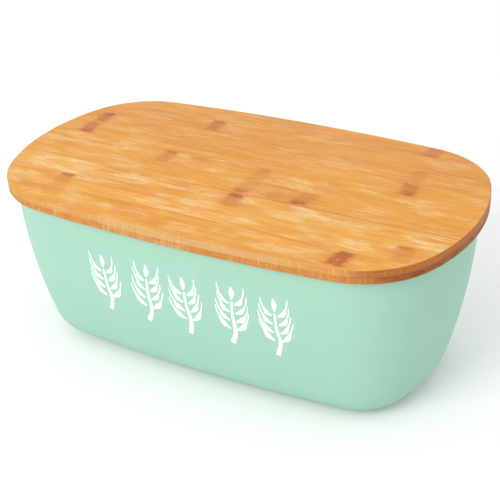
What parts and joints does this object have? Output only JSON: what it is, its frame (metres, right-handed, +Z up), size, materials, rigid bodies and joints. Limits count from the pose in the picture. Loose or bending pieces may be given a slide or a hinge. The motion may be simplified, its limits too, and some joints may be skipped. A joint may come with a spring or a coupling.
{
  "type": "bread bin with lift-off lid",
  "caption": "Oval-cornered moulded bread bin with bowed walls and a flat laminated bamboo board lid that lifts straight off.",
  "frame": {"origin": "middle of the bin's flat base", "axes": "+X along the length, +Y to the back, +Z up; the printed front faces -Y"},
  "size_m": [0.36, 0.203, 0.14],
  "materials": {
    "bin": "satin",
    "top_ply": "oiled satin bamboo",
    "under_ply": "oiled satin bamboo"
  },
  "bodies": {
    "bin": {"bin": "bin"},
    "lid": {"top_strip_1": "top_ply", "top_strip_2": "top_ply", "top_strip_3": "top_ply", "top_strip_4": "top_ply", "top_strip_5": "top_ply", "top_strip_6": "top_ply", "top_strip_7": "top_ply", "top_strip_8": "top_ply", "top_strip_9": "top_ply", "top_strip_10": "top_ply", "under_strip_1": "under_ply", "under_strip_2": "under_ply", "under_strip_3": "under_ply", "under_strip_4": "under_ply", "under_strip_5": "under_ply", "under_strip_6": "under_ply", "under_strip_7": "under_ply", "under_strip_8": "under_ply", "under_strip_9": "under_ply", "under_strip_10": "under_ply", "under_strip_11": "under_ply", "under_strip_12": "under_ply", "under_strip_13": "under_ply", "under_strip_14": "under_ply", "under_strip_15": "under_ply", "under_strip_16": "under_ply", "under_strip_17": "under_ply", "under_strip_18": "under_ply"}
  },
  "joints": [
    {"name": "lid_lift", "type": "slide", "parent": "bin", "child": "lid", "axis": [0, 0, 1], "range_m": [0, 0.2]}
  ]
}
